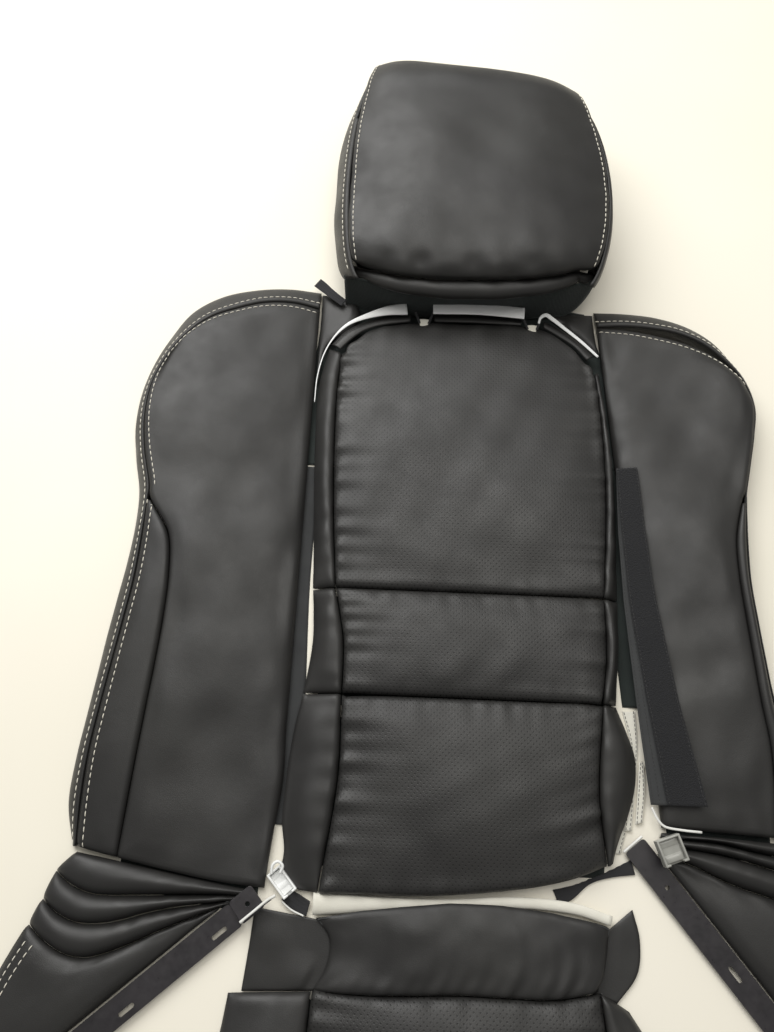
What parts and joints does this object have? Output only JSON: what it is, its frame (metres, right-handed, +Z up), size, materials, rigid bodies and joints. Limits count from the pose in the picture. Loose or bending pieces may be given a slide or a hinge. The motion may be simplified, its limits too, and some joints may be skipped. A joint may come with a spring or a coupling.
{
  "type": "seat cover set",
  "caption": "Unstuffed leather covers for a front seat, laid flat: winged backrest cover with perforated insert, headrest cover and cushion cover.",
  "frame": {"origin": "centre of the laid-out set's footprint, on the surface that it lies on", "axes": "+Z up from the surface, +Y from the cushion cover towards the headrest cover, +X to the right seen from above with the headrest at the top"},
  "size_m": [0.7687, 1.2794, 0.0982],
  "materials": {
    "leather": "smooth black grain, satin, cream topstitching along the seams",
    "perforated": "black leather perforated at about 5 mm, foam backed",
    "lining": "dark green-black cloth lining",
    "ribbon": "black woven elastic and ribbon",
    "looptape": "black loop tape with a fuzzy nap",
    "backing": "grey stitched backing cloth",
    "listing": "cream listing cloth over white rods",
    "clip": "milky white moulded plastic",
    "strip": "dark semi-matte plastic strip with a white core at cut edges"
  },
  "bodies": {
    "root": {"rear_yoke": "lining", "shoulder_tab_left": "leather", "shoulder_tab_right": "leather", "insert_upper": "perforated", "gusset_upper_left": "leather", "gusset_upper_right": "leather", "neck_listing": "listing", "listing_left": "listing", "listing_right": "listing", "notch_tab_left": "listing", "notch_tab_right": "listing", "edge_strap": "ribbon", "tape_flap_left": "backing", "hanging_sleeve_long": "listing"},
    "insert_middle": {"insert_middle": "perforated", "gusset_middle_left": "leather", "gusset_middle_right": "leather"},
    "insert_lower": {"insert_lower": "perforated", "gusset_lower_left": "leather", "gusset_lower_right": "leather", "elastic_left": "ribbon", "pull_ribbon": "ribbon"},
    "clip_left": {"clip_left": "clip"},
    "wing_left": {"bolster_face_left": "leather", "side_strip_left": "leather", "back_band_left": "leather"},
    "skirt_left": {"pleat_1_left": "leather", "pleat_2_left": "leather", "pleat_3_left": "leather", "skirt_left": "leather", "strip_tab_left": "strip"},
    "strip_left": {"fastening_strip_left": "strip"},
    "wing_right": {"bolster_face_right": "leather", "side_strip_right": "leather", "back_band_right": "leather"},
    "tape_flap": {"tape_backing_right": "backing", "loop_tape_right": "looptape"},
    "skirt_right": {"pleat_1_right": "leather", "pleat_2_right": "leather", "pleat_3_right": "leather", "skirt_right": "leather"},
    "strip_right": {"fastening_strip_right": "strip"},
    "clip_right": {"clip_right": "clip"},
    "headrest": {"headrest_face": "leather", "headrest_side_left": "leather", "headrest_side_right": "leather", "headrest_back": "leather", "headrest_flap": "lining", "headrest_lip": "leather"},
    "cushion": {"cushion_rear_panel": "perforated", "cushion_front_panel": "perforated", "cushion_bolster_left": "leather", "cushion_bolster_right": "leather", "cushion_apron": "leather"},
    "cushion_tail": {"cushion_tail": "leather", "cushion_rod": "listing", "tail_flap_left": "leather", "tail_flap_right": "leather"}
  },
  "joints": [
    {"name": "wing_left_fold", "type": "hinge", "parent": "root", "child": "wing_left", "pos_m": [-0.152, 0.08901, 0.0095], "axis": [0, 1, 0], "range_deg": [0, 50]},
    {"name": "wing_right_fold", "type": "hinge", "parent": "root", "child": "wing_right", "pos_m": [0.1615, -0.11299, 0.0095], "axis": [0.0709, -0.9975, 0], "range_deg": [0, 50]},
    {"name": "insert_middle_fold", "type": "hinge", "parent": "root", "child": "insert_middle", "pos_m": [0, 0.07901, 0.0205], "axis": [-1, 0, 0], "range_deg": [0, 90]},
    {"name": "insert_lower_fold", "type": "hinge", "parent": "insert_middle", "child": "insert_lower", "pos_m": [0, -0.01399, 0.0205], "axis": [-1, 0, 0], "range_deg": [0, 110]},
    {"name": "skirt_left_fold", "type": "hinge", "parent": "wing_left", "child": "skirt_left", "pos_m": [-0.24, -0.15899, 0.0135], "axis": [-0.9877, 0.1561, 0], "range_deg": [0, 60]},
    {"name": "skirt_right_fold", "type": "hinge", "parent": "wing_right", "child": "skirt_right", "pos_m": [0.22, -0.11459, 0.0135], "axis": [-0.9993, 0.0384, 0], "range_deg": [0, 50]},
    {"name": "strip_left_fold", "type": "hinge", "parent": "skirt_left", "child": "strip_left", "pos_m": [-0.18774, -0.18107, 0.008], "axis": [-0.7615, -0.6481, 0], "range_deg": [0, 45]},
    {"name": "strip_right_fold", "type": "hinge", "parent": "skirt_right", "child": "strip_right", "pos_m": [0.14659, -0.11846, 0.008], "axis": [-0.628, 0.7782, 0], "range_deg": [0, 45]},
    {"name": "tape_flap_fold", "type": "hinge", "parent": "wing_right", "child": "tape_flap", "pos_m": [0.1601, -0.09299, 0.0142], "axis": [0.0709, -0.9975, 0], "range_deg": [0, 30]},
    {"name": "clip_left_swivel", "type": "hinge", "parent": "insert_lower", "child": "clip_left", "pos_m": [-0.1383, -0.17249, 0.0024], "axis": [0.7431, 0.6691, 0], "range_deg": [0, 45]},
    {"name": "clip_right_swivel", "type": "hinge", "parent": "skirt_right", "child": "clip_right", "pos_m": [0.1546, -0.13041, 0.015], "axis": [0.3419, -0.9397, 0], "range_deg": [0, 45]},
    {"name": "headrest_lift", "type": "slide", "parent": "root", "child": "headrest", "axis": [0, 0, 1], "range_m": [0, 0.15]},
    {"name": "cushion_slide", "type": "slide", "parent": "root", "child": "cushion", "axis": [0, -1, 0], "range_m": [0, 0.2]},
    {"name": "cushion_tail_fold", "type": "hinge", "parent": "cushion", "child": "cushion_tail", "pos_m": [0, -0.23759, 0.015], "axis": [0.9996, 0.0291, 0], "range_deg": [0, 90]}
  ]
}
